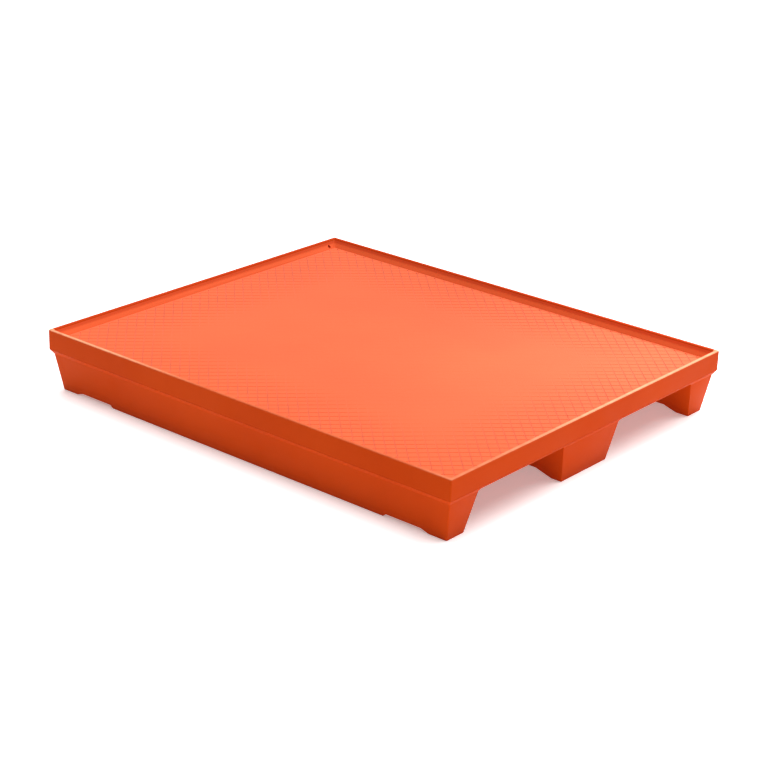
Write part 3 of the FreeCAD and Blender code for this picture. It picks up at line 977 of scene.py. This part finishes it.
def channel_tool(side, grow):
    """One fork channel as a long solid with a rounded ceiling, grown outwards by grow."""
    top = ceiling_z + grow
    slopes = [(high - low) / ceiling_z for low, high in zip(CHANNEL_FLOOR_Y, CHANNEL_TOP_Y)]
    near = [CHANNEL_FLOOR_Y[0] - grow + slopes[0] * z for z in (CHANNEL_BELOW, top)]
    far = [CHANNEL_FLOOR_Y[1] + grow + slopes[1] * z for z in (CHANNEL_BELOW, top)]
    lean = math.degrees(math.atan(slopes[0]))
    turn = math.tan(math.radians(45 - lean / 2)) * CHANNEL_ROUND + CHANNEL_ROUND_SHIFT
    round_z = top - CHANNEL_ROUND
    near_round = arc((near[1] + turn, round_z), CHANNEL_ROUND, 180 - lean, 90)
    far_round = arc((far[1] - turn, round_z), CHANNEL_ROUND, 90, lean)
    outline = [(near[0], CHANNEL_BELOW)] + near_round + far_round + [(far[0], CHANNEL_BELOW)]
    reach = 2 * half_x
    return solid_from_loops("channel", [[(x, side * y, z) for y, z in outline] for x in (-reach, reach)])


def relief_tool(end, sections, grow):
    """The relief under one runner end, between two (y, height) sections."""
    low_x, high_x = RELIEF_TOP_X[0] - grow, RELIEF_TOP_X[1] + grow
    loops = []
    for y, height in sections:
        top = height + grow
        low_foot = low_x - RELIEF_SLOPES[0] * (top + RELIEF_BELOW)
        high_foot = high_x + RELIEF_SLOPES[1] * (top + RELIEF_BELOW)
        outline = [(low_foot, -RELIEF_BELOW), (low_x, top), (high_x, top), (high_foot, -RELIEF_BELOW)]
        loops.append([(end * x, y, z) for x, z in outline])
    return solid_from_loops("relief", loops)


def channel_and_relief_tools(grow):
    deep, shallow = RELIEF_HEIGHTS
    tools = [channel_tool(side, grow) for side in (-1, 1)]
    for end in (-1, 1):
        tools.append(relief_tool(end, [(-CHANNEL_TOP_Y[0], deep), (CHANNEL_TOP_Y[0], deep)], grow))
        for side in (-1, 1):
            sections = [(side * CHANNEL_TOP_Y[1], deep), (side * half_y, shallow)]
            tools.append(relief_tool(end, sections, grow))
    return tools


print("channel ceilings at z", round(ceiling_z, 4), "m")

# %% [markdown]
# ## The bottom sheet
#
# The bottom sheet is the chamfer under the fascia, the leaning skirts and the three runners.
# Its outside is a stack of loops, less the channels and the reliefs. A mould can't make a sharp
# outside corner, so every edge is rounded before the inside is taken out. A Bevel modifier on the
# finished sheet would round the inside too, and catch on its thin walls. The rim that meets the
# top sheet stays sharp, because it is fused there.

# %% Mould the bottom sheet
SKIRT_TOP_Z = 0.090
CHAMFER_RUN = 0.008
SKIRT_RUN = 0.0145
EDGE_ROUND = 0.003
EDGE_ROUND_STEPS = 3
ROUNDED_ANGLE = math.radians(18)
FLAT_ANGLE = math.radians(0.5)
WELD_DISTANCE = 1e-6
SEAM_MARGIN = 0.001


def skirt_inset(z):
    return CHAMFER_RUN + SKIRT_RUN * (1 - z / SKIRT_TOP_Z)


def soften(piece, width, below_z):
    """Rounds the sharp edges that lie below a height."""
    shape = bmesh.new()
    shape.from_mesh(piece.data)
    bmesh.ops.remove_doubles(shape, verts=shape.verts, dist=WELD_DISTANCE)
    bmesh.ops.dissolve_limit(shape, angle_limit=FLAT_ANGLE, verts=shape.verts, edges=shape.edges)
    low = [e for e in shape.edges if max(v.co.z for v in e.verts) <= below_z]
    bmesh.ops.bevel(
        shape, geom=[e for e in low if e.calc_face_angle(0.0) > ROUNDED_ANGLE],
        offset=width, segments=EDGE_ROUND_STEPS, profile=0.5, affect="EDGES", clamp_overlap=True,
    )
    shape.to_mesh(piece.data)
    shape.free()


base = solid_from_loops("base_shell_moulded", [
    plan_loop(skirt_inset(0.0), 0.0), plan_loop(CHAMFER_RUN, SKIRT_TOP_Z), plan_loop(0.0, seam_z),
])
fuse_with(base, "DIFFERENCE", channel_and_relief_tools(0.0))
soften(base, EDGE_ROUND, seam_z - SEAM_MARGIN)
hollow = solid_from_loops("hollow", [
    plan_loop(skirt_inset(SHEET) + SHEET, SHEET), plan_loop(CHAMFER_RUN + SHEET, SKIRT_TOP_Z),
    plan_loop(SHEET, seam_z), plan_loop(SHEET, seam_z + TOOL_OVERSHOOT),
])
fuse_with(hollow, "DIFFERENCE", channel_and_relief_tools(SHEET))
fuse_with(base, "DIFFERENCE", [hollow])
print("bottom sheet:", triangles(base), "triangles")

# %% [markdown]
# ## Vent holes in the channel ceilings
#
# While the sheets are pressed together, the trapped air leaves through holes in the ceilings of
# the fork channels. A small plug closes each hole afterwards, and its head sits in a recess. The
# plugs come from the CAD model, and here upright cylinders cut the holes they sit in. A hole could
# also be drawn into the ceiling's faces, but then each would need its own ring of corners.

# %% Cut the vent holes
VENT_X = (-0.3, 0.0, 0.3)
VENT_RECESS_RADIUS = 0.0073
VENT_RECESS = 0.002
VENT_HOLE_RADIUS = 0.005
VENT_SIDES = 40
VENT_THROUGH = 0.02


def rod_up(name, radius, low, high, centre):
    """A closed upright cylinder round centre (x, y)."""
    ring = circle(centre, radius, VENT_SIDES)
    return solid_from_loops(name, [[(x, y, z) for x, y in ring] for z in (low, high)])


vent_tools = []
for ceiling in ("fork_channel_ceiling_left", "fork_channel_ceiling_right"):
    for x in VENT_X:
        centre = (x, mounts[ceiling].y)
        recess_top = ceiling_z + VENT_RECESS
        vent_tools += [
            rod_up("recess", VENT_RECESS_RADIUS, ceiling_z - TOOL_OVERSHOOT, recess_top, centre),
            rod_up("hole", VENT_HOLE_RADIUS, ceiling_z, ceiling_z + VENT_THROUGH, centre),
        ]
fuse_with(base, "DIFFERENCE", vent_tools)
# The bottom sheet takes the wall finish, coloured darker than the deck as painted shade.
set_finishes(base, shaded_wall_orange)
shade(base)
print("vents:", len(vent_tools) // 2)

# %% [markdown]
# ## The drain's thread, with Geometry Nodes
#
# The drain plug screws into a brass bush with a quarter-inch pipe thread: a rounded ridge that
# climbs 1.337 mm each turn. A thread can be made with the Screw modifier, but its ends are hard
# to close. Here the node tree starts from a closed cylinder with many rings and moves each point
# in or out by a cosine of its height less its angle, so the ridge climbs and the ends stay
# closed. The same tree makes the plug's ridge and, a hair larger, the tool that cuts the bush.

# %% Build the thread's node tree
THREAD_SIDES = 72


def thread_tree():
    t = Tree("pipe thread", {
        "Geometry": "Geometry", "Radius": "Float", "Length": "Float", "Pitch": "Float", "Depth": "Float",
        "Edge": "Float", "Rings": "Int", "Finish": "Material",
    })
    full, length = t.inputs["Radius"], t.inputs["Length"]
    blank = t.add("GeometryNodeMeshCylinder", {
        "Vertices": THREAD_SIDES, "Side Segments": t.inputs["Rings"], "Radius": full, "Depth": length,
    })
    place = t.add("ShaderNodeSeparateXYZ", {"Vector": t.add("GeometryNodeInputPosition").outputs[0]})
    x, y, z = (place.outputs[axis] for axis in "XYZ")
    angle = t.math("ARCTAN2", y, x)
    turns = t.math("DIVIDE", z, t.inputs["Pitch"])
    climb = t.math("SUBTRACT", t.math("MULTIPLY", turns, 2 * math.pi), angle)
    valley = t.math("MULTIPLY", t.math("SUBTRACT", 1.0, t.math("COSINE", climb)), 0.5)
    ridge = t.math("SUBTRACT", full, t.math("MULTIPLY", valley, t.inputs["Depth"]))
    inner_end = t.math("SUBTRACT", t.math("MULTIPLY", length, 0.5), t.inputs["Edge"])
    past = t.math("SUBTRACT", t.math("ABSOLUTE", z), inner_end)
    chamfer = t.math("SUBTRACT", full, t.math("MAXIMUM", past, 0.0))
    radius = t.math("MINIMUM", ridge, chamfer)
    spot = t.add("ShaderNodeCombineXYZ", {
        "X": t.math("MULTIPLY", t.math("COSINE", angle), radius),
        "Y": t.math("MULTIPLY", t.math("SINE", angle), radius), "Z": z,
    }).outputs[0]
    threaded = t.add("GeometryNodeSetPosition", {"Geometry": blank.outputs["Mesh"], "Position": spot})
    t.end_with(threaded.outputs[0], t.inputs["Finish"])
    return t


thread = thread_tree()
print("thread tree has", len(thread.tree.nodes), "nodes")

# %% [markdown]
# ## The drain plug and its bush
#
# The plug is a threaded brass slug with a hexagon socket in its face, and a short nose that holds
# the sealing ring. It turns and travels with its own body. The bush stays in the pallet. Each
# threaded rod is turned so that all threads are in step, wherever the rod starts. Rods that are out
# of step would cut into each other.

# %% Turn the plug and the bush
THREAD_PITCH = 0.001337
THREAD_DEPTH = 0.00085
THREAD_PLAY = 0.00003
THREAD_EDGE = 0.0005
RINGS_PER_TURN = 12
HEX_ACROSS_FLATS = 0.007
HEX_DEPTH = 0.005
# The socket from its mouth inwards, as (depth, growth): a lead-in chamfer and a pointed floor.
SOCKET_SECTIONS = (
    (-0.001, 0.0005), (0.0, 0.0005), (0.0005, 0.0), (HEX_DEPTH, 0.0), (HEX_DEPTH + 0.001, -0.003),
)
NOSE_RADIUS = 0.0042
NOSE_LENGTH = 0.0017
NOSE_OVERLAP = 0.001
BORE_OVERSHOOT = 0.0005

plug_low, plug_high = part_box("drain_plug")
plug_radius = (plug_high.y - plug_low.y) / 2
shank = plug_high.x - plug_low.x - NOSE_LENGTH


def threaded_rod(name, radius, start, length, edge):
    """A threaded rod along X from start, in step with every other rod of this pitch."""
    centre = start + length / 2
    rod = bpy.data.objects.new(name, bpy.data.meshes.new(name))
    bpy.context.collection.objects.link(rod)
    thread.apply_to(
        rod, radius=radius, length=length, pitch=THREAD_PITCH, depth=THREAD_DEPTH, edge=edge,
        rings=round(length / THREAD_PITCH * RINGS_PER_TURN), finish=brass,
    )
    in_step = Matrix.Rotation(2 * math.pi * centre / THREAD_PITCH, 4, "Z")
    along_x = Matrix.Rotation(math.pi / 2, 4, "Y")
    rod.data.transform(Matrix.Translation((centre, *drain_centre)) @ along_x @ in_step)
    return rod


def socket_tool():
    """The hexagon socket, with its chamfer at the mouth."""
    corner = HEX_ACROSS_FLATS / math.sqrt(3)
    loops = []
    for depth, growth in SOCKET_SECTIONS:
        loops.append([(plug_low.x + depth, y, z) for y, z in circle(drain_centre, corner + growth, 6)])
    return solid_from_loops("socket", loops)


plug = threaded_rod("drain_plug_threaded", plug_radius, plug_low.x, shank, THREAD_EDGE)
nose = rod_along_x("nose", NOSE_RADIUS, plug_low.x + shank - NOSE_OVERLAP, plug_high.x)
fuse_with(plug, "UNION", [nose])
fuse_with(plug, "DIFFERENCE", [socket_tool()])
bush = rod_along_x("drain_bush_threaded", bush_radius, bush_low.x, bush_high.x, THREAD_SIDES)
bore_length = bush_high.x - bush_low.x + 2 * BORE_OVERSHOOT
bore = threaded_rod("bore", plug_radius + THREAD_PLAY, bush_low.x - BORE_OVERSHOOT, bore_length, 0.0)
fuse_with(bush, "DIFFERENCE", [bore])
for piece in (plug, bush):
    set_finishes(piece, brass)
    shade(piece)
print("plug", triangles(plug), "triangles, bush", triangles(bush), "triangles")

# %% [markdown]
# ## Put the new pieces in the frame
#
# Each new piece takes the place of its CAD node and rides on the same body, so the plug still
# unscrews when its joint moves. The CAD nodes could be edited in place, but then the CAD model and
# the looks could no longer be compared. All other CAD nodes keep their own shapes.

# %% Ride and replace
for piece, node, slot, body in (
    (deck, "deck_tray", "orange_top_sheet", "pallet"),
    (base, "base_shell", "orange_bottom_sheet", "pallet"),
    (bush, "drain_bush", "brass", "pallet"),
    (plug, "drain_plug", "brass", "drain_plug"),
):
    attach(piece, body)
    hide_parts(node)
    print(piece.name, "rides on", body, "and replaces", node)
